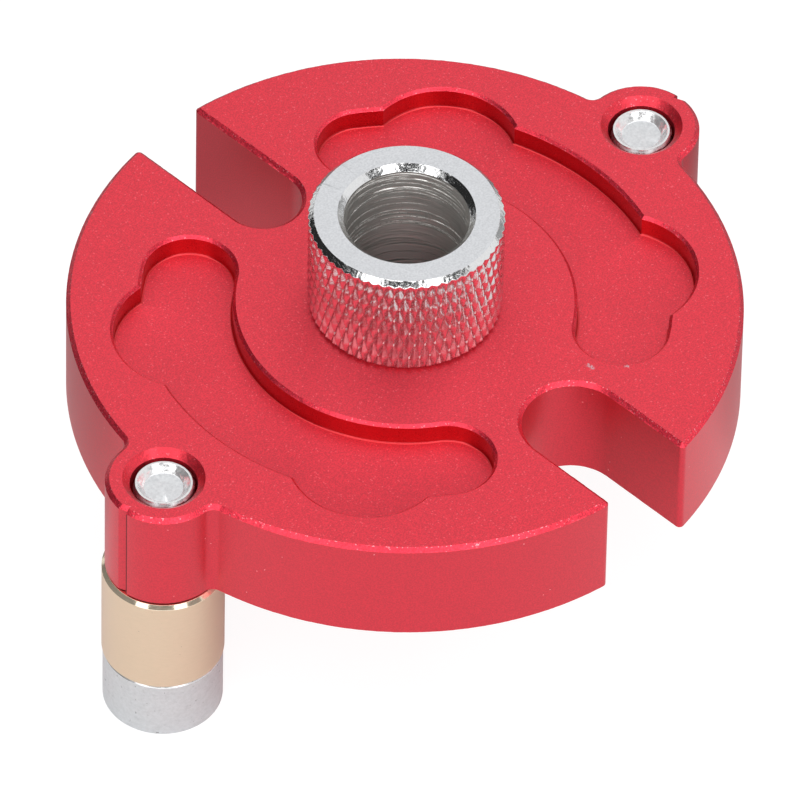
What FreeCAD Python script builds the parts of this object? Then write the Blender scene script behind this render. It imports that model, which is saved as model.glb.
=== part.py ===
import FreeCAD, Part
import math
import os

# Self centering doweling jig. Millimetres. +Z is up along the drill axis, and X runs from leg to leg.
# The origin is on the drill axis, level with the ends of the legs.

# ---- driving dimensions ------------------------------------------------------------------------

# Body: a flat disc with an ear over each leg
disc_diameter = 55.0
disc_thickness = 10.0
top_chamfer = 0.35
bottom_chamfer = 0.2
ear_diameter = 9.5
ear_overhang = 0.25            # how far a leg's axis stands outside the rim
ear_root_fillet = 1.0
seam_groove_radius = 0.5       # the shallow full-height groove on the outside of each ear
seam_groove_depth = 0.22

# Open slots that slip over a dowel, one for each size
small_dowel_diameter = 6.0
large_dowel_diameter = 8.0
dowel_clearance = 0.4
slot_mouth_fillet = 0.4        # on the upright edges where a slot meets the rim
small_slot_end = 13.0          # from the drill axis to the slot's closed end
large_slot_end = 14.8

# Kidney pockets on the top face
pocket_depth = 2.0
hub_radius = 14.0              # full-height metal around the drill axis
pocket_rim_width = 6.0
lobe_rim_width = 3.5
lobe_step_angle = 21.2         # from a pocket's end to the middle of its nearest lobe
slot_web = 2.1                 # between the large slot and a pocket's end
pocket_chamfer = 0.25
pocket_floor_radius = 0.2

# Guide bush
drill_diameter = 10.0
drill_clearance = 0.2
bush_head_diameter = 16.0
bush_head_height = 10.2
bush_top_chamfer = 0.47
bush_bottom_chamfer = 0.5
bore_chamfer = 0.5
bush_thread_diameter = 14.0
bush_end_gap = 0.5             # from the end of the bush to the underside of the body
bush_end_chamfer = 0.7
bush_relief_width = 1.2
bush_relief_depth = 0.6
body_thread_chamfer = 0.2      # leaves a seat for the bush's head

# Leg pins: a head that is the foot, a shoulder that carries the sleeve, and a threaded end
foot_diameter = 9.8
foot_height = 5.7
foot_bottom_chamfer = 0.1
foot_top_chamfer = 0.12
shoulder_diameter = 6.0
pin_thread_diameter = 5.0
pin_end_depth = 0.55           # from the top face down to the end of the pin
pin_end_chamfer = 0.18
pin_cup_rim = 0.17             # flat ring around the cup in the pin's end
pin_cup_depth = 0.6
pin_cup_floor_radius = 1.6
pin_relief_width = 0.9
pin_relief_depth = 0.4
socket_across_flats = 3.0
socket_depth = 3.0
socket_chamfer = 0.2

# Holes for the pins in the ears
ear_countersink_diameter = 6.7
ear_relief_diameter = 5.5
ear_relief_depth = 1.7         # from the top face down to the first thread
ear_bottom_chamfer = 0.2

# Leg sleeves: rollers that turn on the pins
sleeve_diameter = 10.0
sleeve_length = 9.6
sleeve_top_chamfer = 0.3
sleeve_bottom_chamfer = 0.12
sleeve_bore_chamfer = 0.2

# Clearances
thread_clearance = 0.05        # radial, between a threaded piece and its hole
sleeve_running_clearance = 0.05
sleeve_end_clearance = 0.1     # at each end of a sleeve

# Cutting tools reach this far past the faces they open
overcut = 1.0

# ---- places that follow from them --------------------------------------------------------------

foot_top_z = foot_height
sleeve_bottom_z = foot_top_z + sleeve_end_clearance
sleeve_top_z = sleeve_bottom_z + sleeve_length
underside_z = sleeve_top_z + sleeve_end_clearance
top_z = underside_z + disc_thickness
bush_top_z = top_z + bush_head_height

disc_radius = disc_diameter / 2
ear_radius = ear_diameter / 2
leg_x = disc_radius + ear_overhang

drill_bore_radius = (drill_diameter + drill_clearance) / 2
bush_head_radius = bush_head_diameter / 2
bush_thread_radius = bush_thread_diameter / 2
bush_end_z = underside_z + bush_end_gap
body_thread_radius = bush_thread_radius + thread_clearance

pin_thread_radius = pin_thread_diameter / 2
ear_thread_radius = pin_thread_radius + thread_clearance
pin_end_z = top_z - pin_end_depth

small_slot_radius = (small_dowel_diameter + dowel_clearance) / 2
large_slot_radius = (large_dowel_diameter + dowel_clearance) / 2

pocket_outer_radius = disc_radius - pocket_rim_width
pocket_mid_radius = (hub_radius + pocket_outer_radius) / 2
pocket_half_width = (pocket_outer_radius - hub_radius) / 2
pocket_floor_z = top_z - pocket_depth
pocket_end_x = large_slot_radius + slot_web + pocket_half_width
pocket_end_angle = math.degrees(math.acos(pocket_end_x / pocket_mid_radius))
lobe_angle = pocket_end_angle - lobe_step_angle
lobe_radius = disc_radius - lobe_rim_width - pocket_mid_radius

UP = FreeCAD.Vector(0, 0, 1)
ORIGIN = FreeCAD.Vector(0, 0, 0)


# ---- shapes used more than once ----------------------------------------------------------------

def turned(outline, x=0.0, y=0.0, turn=360.0, start=0.0):
    """A solid turned about the vertical line at x, y from (radius, z) points."""
    points = [FreeCAD.Vector(radius, 0, z) for radius, z in outline]
    face = Part.Face(Part.makePolygon(points + points[:1]))
    solid = face.revolve(ORIGIN, UP, turn)
    solid.rotate(ORIGIN, UP, start)
    solid.translate(FreeCAD.Vector(x, y, 0))
    return solid


def around(radius, angle):
    """The point at this radius and angle in degrees around the drill axis."""
    turn = math.radians(angle)
    return radius * math.cos(turn), radius * math.sin(turn)


def pocket_wall(half_width):
    """Half of a pocket's section as a wire: floor, floor radius, wall, and the chamfer on top."""
    floor_corner = half_width - pocket_floor_radius
    arc_end_z = pocket_floor_z + pocket_floor_radius
    flat = pocket_floor_radius * (1 - math.sqrt(0.5))
    corner_middle = FreeCAD.Vector(half_width - flat, 0, pocket_floor_z + flat)
    floor_middle = FreeCAD.Vector(0, 0, pocket_floor_z)
    arc_start = FreeCAD.Vector(floor_corner, 0, pocket_floor_z)
    arc_end = FreeCAD.Vector(half_width, 0, arc_end_z)
    chamfer_start = FreeCAD.Vector(half_width, 0, top_z - pocket_chamfer)
    chamfer_end = FreeCAD.Vector(half_width + pocket_chamfer + overcut, 0, top_z + overcut)
    top_middle = FreeCAD.Vector(0, 0, top_z + overcut)
    edges = [
        Part.makeLine(floor_middle, arc_start),
        Part.Arc(arc_start, corner_middle, arc_end).toShape(),
        Part.makeLine(arc_end, chamfer_start),
        Part.makeLine(chamfer_start, chamfer_end),
        Part.makeLine(chamfer_end, top_middle),
        Part.makeLine(top_middle, floor_middle),
    ]
    return Part.Wire(edges)


def pocket_round(half_width, angle, turn, start):
    """A round stretch of a pocket, turned about a point on the pocket's middle line."""
    x, y = around(pocket_mid_radius, angle)
    solid = Part.Face(pocket_wall(half_width)).revolve(ORIGIN, UP, turn)
    solid.rotate(ORIGIN, UP, start)
    solid.translate(FreeCAD.Vector(x, y, 0))
    return solid


def pocket_channel():
    """The long curved stretch of a pocket, between its two round ends."""
    half = pocket_wall(pocket_half_width)
    halves = []
    for side in (1, -1):
        wire = half.copy()
        if side < 0:
            wire.rotate(ORIGIN, UP, 180)
        wire.translate(FreeCAD.Vector(pocket_mid_radius, 0, 0))
        solid = Part.Face(wire).revolve(ORIGIN, UP, 2 * pocket_end_angle)
        solid.rotate(ORIGIN, UP, -pocket_end_angle)
        halves.append(solid)
    return halves[0].fuse(halves[1])


def pocket_tool(heading):
    """Everything that one kidney pocket removes, on the side of the body at this heading."""
    tool = pocket_channel()
    inside = Part.makeCylinder(pocket_mid_radius, disc_thickness + 2 * overcut,
                               FreeCAD.Vector(0, 0, underside_z))
    for side in (1, -1):
        end_angle = side * pocket_end_angle
        end_start = end_angle if side > 0 else end_angle + 180
        tool = tool.fuse(pocket_round(pocket_half_width, end_angle, 180, end_start))
        lobe = pocket_round(lobe_radius, side * lobe_angle, 360, 0)
        tool = tool.fuse(lobe.cut(inside))
    tool = tool.removeSplitter()
    tool.rotate(ORIGIN, UP, heading)
    return tool


def slot_tool(radius, end_distance, side):
    """An open slot with a round end, cut in from the rim on the +Y or -Y side."""
    centre_y = end_distance + radius
    height = disc_thickness + 2 * overcut
    base_z = underside_z - overcut
    length = disc_radius + overcut - centre_y
    straight = Part.makeBox(2 * radius, length, height, FreeCAD.Vector(-radius, centre_y, base_z))
    round_end = Part.makeCylinder(radius, height, FreeCAD.Vector(0, centre_y, base_z))
    tool = straight.fuse(round_end).removeSplitter()
    if side < 0:
        tool.rotate(ORIGIN, UP, 180)
    return tool


def upright_edges(shape):
    """Each edge that runs straight up, with its X and Y."""
    return [(edge, edge.Vertexes[0].X, edge.Vertexes[0].Y) for edge in shape.Edges
            if edge.BoundBox.XLength < 1e-6 and edge.BoundBox.YLength < 1e-6]


def edges_at(shape, z):
    """The edges of the outer outline at this height."""
    for face in shape.Faces:
        box = face.BoundBox
        if abs(box.ZMin - z) < 1e-6 and abs(box.ZMax - z) < 1e-6:
            return face.OuterWire.Edges
    return []


def prism(across_flats, z_low, z_high):
    """A six-sided prism about the Z axis."""
    corner = across_flats / math.sqrt(3)
    points = [FreeCAD.Vector(*around(corner, 60 * index), z_low) for index in range(7)]
    return Part.Face(Part.makePolygon(points)).extrude(UP * (z_high - z_low))


# ---- the pieces --------------------------------------------------------------------------------

def make_body():
    blank = Part.makeCylinder(disc_radius, disc_thickness, FreeCAD.Vector(0, 0, underside_z))
    for side in (1, -1):
        foot = FreeCAD.Vector(side * leg_x, 0, underside_z)
        blank = blank.fuse(Part.makeCylinder(ear_radius, disc_thickness, foot))
    blank = blank.removeSplitter()
    roots = [edge for edge, x, y in upright_edges(blank) if abs(y) > ear_radius / 2]
    blank = blank.makeFillet(ear_root_fillet, roots)
    blank = blank.cut(slot_tool(small_slot_radius, small_slot_end, 1))
    blank = blank.cut(slot_tool(large_slot_radius, large_slot_end, -1))
    mouths = [edge for edge, x, y in upright_edges(blank)
              if math.hypot(x, y) > disc_radius - slot_mouth_fillet
              and abs(x) < large_slot_radius + slot_mouth_fillet]
    blank = blank.makeFillet(slot_mouth_fillet, mouths)
    blank = blank.makeChamfer(top_chamfer, edges_at(blank, top_z))
    blank = blank.makeChamfer(bottom_chamfer, edges_at(blank, underside_z))

    for side in (1, -1):
        groove_x = side * (leg_x + ear_radius + seam_groove_radius - seam_groove_depth)
        groove = Part.makeCylinder(seam_groove_radius, disc_thickness + 2 * overcut,
                                   FreeCAD.Vector(groove_x, 0, underside_z - overcut))
        blank = blank.cut(groove)
        blank = blank.cut(pocket_tool(90 - side * 90))
        blank = blank.cut(ear_hole(side * leg_x))
    return blank.cut(bush_hole())


def ear_hole(x):
    """The threaded hole for a leg pin, countersunk and relieved at the top."""
    countersink_radius = ear_countersink_diameter / 2
    relief_radius = ear_relief_diameter / 2
    countersink_z = top_z - (countersink_radius - relief_radius)
    relief_z = top_z - ear_relief_depth
    return turned([
        (0, underside_z - overcut),
        (ear_thread_radius + ear_bottom_chamfer + overcut, underside_z - overcut),
        (ear_thread_radius, underside_z + ear_bottom_chamfer),
        (ear_thread_radius, relief_z - (relief_radius - ear_thread_radius)),
        (relief_radius, relief_z),
        (relief_radius, countersink_z),
        (countersink_radius + overcut, top_z + overcut),
        (0, top_z + overcut),
    ], x)


def bush_hole():
    """The threaded hole for the guide bush, chamfered at both ends."""
    wide = body_thread_radius + body_thread_chamfer + overcut
    return turned([
        (0, underside_z - overcut),
        (wide, underside_z - overcut),
        (body_thread_radius, underside_z + body_thread_chamfer),
        (body_thread_radius, top_z - body_thread_chamfer),
        (wide, top_z + overcut),
        (0, top_z + overcut),
    ])


def make_guide_bush():
    relief_radius = bush_thread_radius - bush_relief_depth
    relief_end_z = top_z - bush_relief_width
    return turned([
        (drill_bore_radius, bush_end_z + bore_chamfer),
        (drill_bore_radius + bore_chamfer, bush_end_z),
        (bush_thread_radius - bush_end_chamfer, bush_end_z),
        (bush_thread_radius, bush_end_z + bush_end_chamfer),
        (bush_thread_radius, relief_end_z - bush_relief_depth),
        (relief_radius, relief_end_z),
        (relief_radius, top_z),
        (bush_head_radius - bush_bottom_chamfer, top_z),
        (bush_head_radius, top_z + bush_bottom_chamfer),
        (bush_head_radius, bush_top_z - bush_top_chamfer),
        (bush_head_radius - bush_top_chamfer, bush_top_z),
        (drill_bore_radius + bore_chamfer, bush_top_z),
        (drill_bore_radius, bush_top_z - bore_chamfer),
    ])


def make_leg_pin(x):
    foot_radius = foot_diameter / 2
    shoulder_radius = shoulder_diameter / 2
    relief_radius = pin_thread_radius - pin_relief_depth
    relief_end_z = underside_z + pin_relief_width
    pin = turned([
        (0, 0),
        (foot_radius - foot_bottom_chamfer, 0),
        (foot_radius, foot_bottom_chamfer),
        (foot_radius, foot_top_z - foot_top_chamfer),
        (foot_radius - foot_top_chamfer, foot_top_z),
        (shoulder_radius, foot_top_z),
        (shoulder_radius, underside_z),
        (relief_radius, underside_z),
        (relief_radius, relief_end_z),
        (pin_thread_radius, relief_end_z + pin_relief_depth),
        (pin_thread_radius, pin_end_z - pin_end_chamfer),
        (pin_thread_radius - pin_end_chamfer, pin_end_z),
        (pin_thread_radius - pin_end_chamfer - pin_cup_rim, pin_end_z),
        (pin_cup_floor_radius, pin_end_z - pin_cup_depth),
        (0, pin_end_z - pin_cup_depth),
    ])
    corner = socket_across_flats / math.sqrt(3)
    lead_in = turned([
        (0, -overcut),
        (corner + socket_chamfer + overcut, -overcut),
        (corner, socket_chamfer),
        (0, socket_chamfer),
    ])
    pin = pin.cut(prism(socket_across_flats, -overcut, socket_depth).fuse(lead_in))
    pin.translate(FreeCAD.Vector(x, 0, 0))
    return pin


def make_leg_sleeve(x):
    outer = sleeve_diameter / 2
    inner = shoulder_diameter / 2 + sleeve_running_clearance
    return turned([
        (inner, sleeve_bottom_z + sleeve_bore_chamfer),
        (inner + sleeve_bore_chamfer, sleeve_bottom_z),
        (outer - sleeve_bottom_chamfer, sleeve_bottom_z),
        (outer, sleeve_bottom_z + sleeve_bottom_chamfer),
        (outer, sleeve_top_z - sleeve_top_chamfer),
        (outer - sleeve_top_chamfer, sleeve_top_z),
        (inner + sleeve_bore_chamfer, sleeve_top_z),
        (inner, sleeve_top_z - sleeve_bore_chamfer),
    ], x)


pieces = {
    "jig_body": make_body(),
    "guide_bush": make_guide_bush(),
    "leg_pin_left": make_leg_pin(-leg_x),
    "leg_pin_right": make_leg_pin(leg_x),
    "leg_sleeve_left": make_leg_sleeve(-leg_x),
    "leg_sleeve_right": make_leg_sleeve(leg_x),
}

os.makedirs("parts", exist_ok=True)
for node, shape in pieces.items():
    shape.exportStep(f"parts/{node}.step")
    box = shape.optimalBoundingBox(True, False)
    print(f"{node}: {len(shape.Solids)} solid, valid {shape.isValid()}, volume {shape.Volume:.1f} mm3, "
          f"X {box.XMin:.2f} to {box.XMax:.2f}, Y {box.YMin:.2f} to {box.YMax:.2f}, "
          f"Z {box.ZMin:.2f} to {box.ZMax:.2f}")
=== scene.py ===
import math
import bmesh
import bpy
import numpy as np
from mathutils import Matrix, Vector
from mathutils.geometry import delaunay_2d_cdt


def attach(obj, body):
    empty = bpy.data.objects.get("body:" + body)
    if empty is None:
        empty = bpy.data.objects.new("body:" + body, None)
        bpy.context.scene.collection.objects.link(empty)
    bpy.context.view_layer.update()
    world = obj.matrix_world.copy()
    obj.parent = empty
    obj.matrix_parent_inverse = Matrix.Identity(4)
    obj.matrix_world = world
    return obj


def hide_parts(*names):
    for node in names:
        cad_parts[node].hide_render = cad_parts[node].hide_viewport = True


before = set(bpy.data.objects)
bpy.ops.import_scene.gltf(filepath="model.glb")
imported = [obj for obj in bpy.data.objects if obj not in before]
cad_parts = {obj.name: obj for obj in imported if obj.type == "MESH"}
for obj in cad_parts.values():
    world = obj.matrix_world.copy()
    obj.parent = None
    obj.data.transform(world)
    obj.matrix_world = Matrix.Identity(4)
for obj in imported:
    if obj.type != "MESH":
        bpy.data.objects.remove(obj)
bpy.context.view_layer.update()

MM = 0.001
TAU = 2 * math.pi

# ---- sizes of the part in millimetres, as in the CAD model ---------------------------------------

# Body
UNDERSIDE_Z = 15.5
TOP_Z = 25.5
DISC_R = 27.5
EAR_R = 4.75
LEG_X = 27.75
ROOT_R = 1.0                   # inner rounding between an ear and the rim
MOUTH_R = 0.4                  # outer rounding between a slot and the rim
TOP_CHAMFER = 0.35
BOTTOM_CHAMFER = 0.2

SMALL_SLOT_R, SMALL_SLOT_END = 3.2, 13.0
LARGE_SLOT_R, LARGE_SLOT_END = 4.2, 14.8

POCKET_DEPTH = 2.0
HUB_R = 14.0
POCKET_OUT_R = 21.5
SLOT_WEB = 2.1
LOBE_STEP = math.radians(21.2)
LOBE_RIM = 3.5
POCKET_CHAMFER = 0.25
FLOOR_R = 0.2
POCKET_MID_R = (HUB_R + POCKET_OUT_R) / 2
POCKET_HALF = (POCKET_OUT_R - HUB_R) / 2
POCKET_END = math.acos((LARGE_SLOT_R + SLOT_WEB + POCKET_HALF) / POCKET_MID_R)
LOBE_ANGLE = POCKET_END - LOBE_STEP
LOBE_R = DISC_R - LOBE_RIM - POCKET_MID_R

THREAD_GAP = 0.05
HOLE_CHAMFER = 0.2
EAR_RELIEF_R, EAR_RELIEF_DEPTH = 2.75, 1.7
EAR_SINK = 0.6                 # how far the countersink widens, and how deep it goes

# Bush
BUSH_END_Z = 16.0
BUSH_TOP_Z = 35.7
HEAD_R = 8.0
HEAD_TOP_CHAMFER, HEAD_LOW_CHAMFER = 0.47, 0.5
BORE_R = 5.1
BORE_CHAMFER = 0.5
BUSH_THREAD_R = 7.0
BUSH_END_CHAMFER = 0.7
BUSH_RELIEF_WIDTH, BUSH_RELIEF_DEPTH = 1.2, 0.6

# Leg pins
FOOT_R, FOOT_TOP_Z = 4.9, 5.7
FOOT_LOW_CHAMFER, FOOT_TOP_CHAMFER = 0.1, 0.12
SHOULDER_R = 3.0
PIN_R = 2.5
PIN_RELIEF_WIDTH, PIN_RELIEF_DEPTH = 0.9, 0.4
PIN_END_Z = 24.95
PIN_END_CHAMFER = 0.18
CUP_RIM, CUP_DEPTH, CUP_FLOOR_R = 0.17, 0.6, 1.6
SOCKET_HALF_FLATS, SOCKET_DEPTH, SOCKET_CHAMFER = 1.5, 3.0, 0.2

# Leg sleeves
SLEEVE_R, SLEEVE_LOW_Z, SLEEVE_TOP_Z = 5.0, 5.8, 15.4
SLEEVE_TOP_CHAMFER, SLEEVE_LOW_CHAMFER, SLEEVE_BORE_CHAMFER = 0.3, 0.12, 0.2
SLEEVE_GAP = 0.05

# ---- sizes of what only this scene has, in millimetres -------------------------------------------

# The ear's groove is about as wide as in the CAD model, a little deeper, and has one steep side
GROOVE_HALF, GROOVE_DEPTH = 0.415, 0.28
# The dark line along each groove's steep side is painted shade, not a deeper cut.
GROOVE_SHADE_FROM, GROOVE_SHADE_TO = 0.93, 1.2     # a dark line along the steep side, in half widths

# Threads
BUSH_PITCH, BUSH_THREAD_DEPTH = 1.0, 0.5
PIN_PITCH, PIN_THREAD_DEPTH, EAR_THREAD_DEPTH = 0.8, 0.32, 0.35

# Knurl: how many grooves each way, how far one climbs to meet the next, and where the two sets start
KNURL_COUNT = 57
KNURL_RISE = 2.82
KNURL_DEPTH = 0.33
KNURL_STARTS = 0.323, 0.387
KNURL_ROUND = 0.0008           # rounds the bottom of each groove
KNURL_BLEND = 0.022            # rounds the corners where the two sets cross

# Tool marks in the bore
SCORE_DEPTH, SCORE_WIDTH = 0.035, 0.045
MARK_COUNT, SCORE_COUNT = 90, 20

GRAIN_STEP = 0.1               # spacing of points along a rough chamfer


# ---- numpy helpers -------------------------------------------------------------------------------

def lattice(ix, iy, iz, seed):
    """A fixed random value from -1 to 1 for each whole-number point."""
    with np.errstate(over="ignore"):
        h = (ix.astype(np.int64) * 73856093) ^ (iy.astype(np.int64) * 19349663)
        h = h ^ (iz.astype(np.int64) * 83492791) ^ (seed * 2654435761)
        h = (h ^ (h >> 13)) * 1274126177
        h = h ^ (h >> 16)
    return (h & 0xFFFF) / 32767.5 - 1.0


def grain(points, size, seed):
    """Smooth noise from -1 to 1 at each point, with features of this size."""
    p = np.asarray(points, float) / size + 1000.0
    i = np.floor(p)
    f = p - i
    f = f * f * (3 - 2 * f)
    total = 0.0
    for dx in (0, 1):
        for dy in (0, 1):
            for dz in (0, 1):
                w = (f[..., 0] if dx else 1 - f[..., 0])
                w = w * (f[..., 1] if dy else 1 - f[..., 1])
                w = w * (f[..., 2] if dz else 1 - f[..., 2])
                total = total + w * lattice(i[..., 0] + dx, i[..., 1] + dy, i[..., 2] + dz, seed)
    return total


def smoothstep(low, high, x):
    t = np.clip((x - low) / (high - low), 0, 1)
    return t * t * (3 - 2 * t)


def turns(count):
    """This many angles around a full turn."""
    return TAU * np.arange(count) / count


def level(loop, z):
    """A 2D loop as 3D points at height z."""
    return np.column_stack([loop, np.broadcast_to(z, len(loop))])


def ring(radius, z, count, x=0.0):
    """A row around an upright axis. Radius and z may vary with the angle."""
    angle = turns(count)
    return np.column_stack([x + radius * np.cos(angle), radius * np.sin(angle),
                            np.broadcast_to(z, count)])


class Builder:
    """Collects rows of points and fills as one mesh, with a material for each band."""

    def __init__(self):
        self.points = []
        self.faces = []
        self.bands = []
        self.count = 0

    def add(self, points):
        start = self.count
        self.points.append(np.asarray(points, float))
        self.count += len(points)
        return start

    def skin(self, rows, bands, turned_out=True):
        """Quads between closed rows. Returns the first and last rows as (start, size) pairs."""
        starts = [self.add(row) for row in rows]
        size = len(rows[0])
        here = np.arange(size)
        there = np.roll(here, -1)
        for a, b, band in zip(starts, starts[1:], bands):
            quads = np.column_stack([a + here, a + there, b + there, b + here])
            if not turned_out:
                quads = quads[:, ::-1]
            self.faces.extend(quads.tolist())
            self.bands.extend(np.broadcast_to(band, size).tolist())
        return (starts[0], size), (starts[-1], size)

    def fill(self, loops, band, upward):
        """A flat face bounded by closed loops, given as (start, size) pairs."""
        every = np.concatenate(self.points)
        names = np.concatenate([np.arange(start, start + size) for start, size in loops])
        flat = every[names, :2]
        edges = []
        bounds = []
        first = 0
        for _, size in loops:
            here = np.arange(first, first + size)
            edges.extend(np.column_stack([here, np.roll(here, -1)]).tolist())
            bounds.append(flat[here])
            first += size
        spots, _, faces, sources, _, _ = delaunay_2d_cdt([Vector(p) for p in flat], edges, [], 1, 1e-7, True)
        triangles = np.array([face for face in faces if len(face) == 3])
        origin = np.array([names[ids[0]] if ids else -1 for ids in sources])
        middles = np.array([tuple(p) for p in spots])[triangles].mean(axis=1)

        # A triangle lies inside where a line from its middle crosses the loops an odd number of times
        crossed = np.zeros(len(middles), int)
        for loop in bounds:
            for (x1, y1), (x2, y2) in zip(loop, np.roll(loop, -1, axis=0)):
                if y1 != y2:
                    spans = (middles[:, 1] > min(y1, y2)) & (middles[:, 1] <= max(y1, y2))
                    cut = x1 + (middles[:, 1] - y1) * (x2 - x1) / (y2 - y1)
                    crossed += spans & (cut > middles[:, 0])
        kept = origin[triangles[crossed % 2 == 1]]
        kept = kept[(kept >= 0).all(axis=1)]
        a, b, c = (every[kept[:, k], :2] for k in range(3))
        turn = (b - a)[:, 0] * (c - a)[:, 1] - (b - a)[:, 1] * (c - a)[:, 0]
        kept = np.where(((turn > 0) == upward)[:, None], kept, kept[:, ::-1])
        self.faces.extend(kept.tolist())
        self.bands.extend([band] * len(kept))

    def cap(self, loop, band, upward):
        """One flat polygon over a closed row, given as a (start, size) pair."""
        start, size = loop
        face = list(range(start, start + size))
        self.faces.append(face if upward else face[::-1])
        self.bands.append(band)

    def piece(self, name, materials, sharp_degrees=30.0):
        """All that was collected, as one smooth object with its edges sharp above this angle."""
        mesh = bpy.data.meshes.new(name)
        every = np.concatenate(self.points) * MM
        mesh.from_pydata(every.tolist(), [], self.faces)
        for material in materials:
            mesh.materials.append(material)
        mesh.polygons.foreach_set("material_index", self.bands)
        net = bmesh.new()
        net.from_mesh(mesh)
        bmesh.ops.remove_doubles(net, verts=net.verts, dist=2e-7)
        net.to_mesh(mesh)
        net.free()
        mesh.polygons.foreach_set("use_smooth", [True] * len(mesh.polygons))
        mesh.set_sharp_from_angle(angle=math.radians(sharp_degrees))
        mesh.update()
        thing = bpy.data.objects.new(name, mesh)
        bpy.context.scene.collection.objects.link(thing)
        return thing


class Rows:
    """Rows of points, each with the band that runs from it to the next."""

    def __init__(self):
        self.rows = []
        self.bands = []

    def add(self, row, band):
        self.rows.append(row)
        self.bands.append(band)

    def skin(self, b):
        return b.skin(self.rows, self.bands[:-1])


# ---- outlines of the body ------------------------------------------------------------------------

def arc(centre, radius, start, end, count):
    """Points along an arc, without its last one."""
    angle = start + (end - start) * np.arange(count) / count
    return np.column_stack([centre[0] + radius * np.cos(angle), centre[1] + radius * np.sin(angle)])


def run(first, last, count):
    """Points along a straight line, without its last one."""
    share = (np.arange(count) / count)[:, None]
    return np.asarray(first) * (1 - share) + np.asarray(last) * share


def steps(length):
    """How many points a stretch of outline gets."""
    return max(2, int(round(length / GRAIN_STEP)))


def mouth(slot_r, inset):
    """The rounding where a slot meets the rim: its centre, its radius, and its centre's bearing."""
    centre = np.array([slot_r + MOUTH_R, math.sqrt((DISC_R - MOUTH_R) ** 2 - (slot_r + MOUTH_R) ** 2)])
    return centre, MOUTH_R - inset, math.atan2(centre[1], centre[0])


def ear_arc(inset, ear_turn, steep):
    """The outside of an ear from one root to the other, with its groove.
    The groove's steep side is towards the small slot for 1, and towards the large slot for -1."""
    fine = math.radians(5.2)       # this far to each side of the middle, the points lie closer
    coarse_steps = steps(EAR_R * (ear_turn - fine))
    angles = np.concatenate([
        np.linspace(ear_turn, fine, coarse_steps, endpoint=False),
        np.linspace(fine, -fine, 24, endpoint=False),
        np.linspace(-fine, -ear_turn, coarse_steps, endpoint=False),
    ])
    across = steep * EAR_R * angles / GROOVE_HALF
    deep = GROOVE_DEPTH * np.clip((across + 1) / 1.7, 0, 1) * np.clip((1 - across) / 0.1, 0, 1)
    far = EAR_R - inset - deep
    return np.column_stack([LEG_X + far * np.cos(angles), far * np.sin(angles)])


def half_outline(inset, steep):
    """The right half of the body's outline, from the small slot's end round to the large slot's end."""
    rim = DISC_R - inset
    reach = DISC_R + ROOT_R
    root_x = (reach ** 2 - (EAR_R + ROOT_R) ** 2 + LEG_X ** 2) / (2 * LEG_X)
    root = np.array([root_x, math.sqrt(reach ** 2 - root_x ** 2)])
    root_turn = math.atan2(root[1], root[0])
    ear_turn = math.atan2(root[1], root[0] - LEG_X)
    root_r = ROOT_R + inset

    centre, radius, turn = mouth(SMALL_SLOT_R, inset)
    slot_y = SMALL_SLOT_END + SMALL_SLOT_R
    slot_r = SMALL_SLOT_R + inset
    parts = [
        arc((0, slot_y), slot_r, -math.pi / 2, 0, steps(SMALL_SLOT_R * math.pi / 2)),
        run((slot_r, slot_y), (slot_r, centre[1]), steps(centre[1] - slot_y)),
        arc(centre, radius, math.pi, turn, 8),
        arc((0, 0), rim, turn, root_turn, steps(DISC_R * (turn - root_turn))),
        arc(root, root_r, root_turn + math.pi, ear_turn + math.pi, 20),
        ear_arc(inset, ear_turn, steep),
        arc(root * (1, -1), root_r, math.pi - ear_turn, math.pi - root_turn, 20),
    ]

    centre, radius, turn = mouth(LARGE_SLOT_R, inset)
    slot_y = LARGE_SLOT_END + LARGE_SLOT_R
    slot_r = LARGE_SLOT_R + inset
    parts += [
        arc((0, 0), rim, -root_turn, -turn, steps(DISC_R * (turn - root_turn))),
        arc(centre * (1, -1), radius, -turn, -math.pi, 8),
        run((slot_r, -centre[1]), (slot_r, -slot_y), steps(centre[1] - slot_y)),
        arc((0, -slot_y), slot_r, 0, math.pi / 2, steps(LARGE_SLOT_R * math.pi / 2)),
        np.array([[0, -LARGE_SLOT_END + inset]]),
    ]
    return np.concatenate(parts)


def outline(inset):
    """The body's outline, counterclockwise."""
    right = half_outline(inset, 1)
    left = half_outline(inset, -1)[1:-1][::-1] * (-1, 1)
    return np.concatenate([right, left])[::-1]


def meet(radius, lobe):
    """Angle off the lobe's middle where the lobe's circle crosses a circle about the drill axis."""
    return math.acos((POCKET_MID_R ** 2 + radius ** 2 - lobe ** 2) / (2 * POCKET_MID_R * radius))


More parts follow.
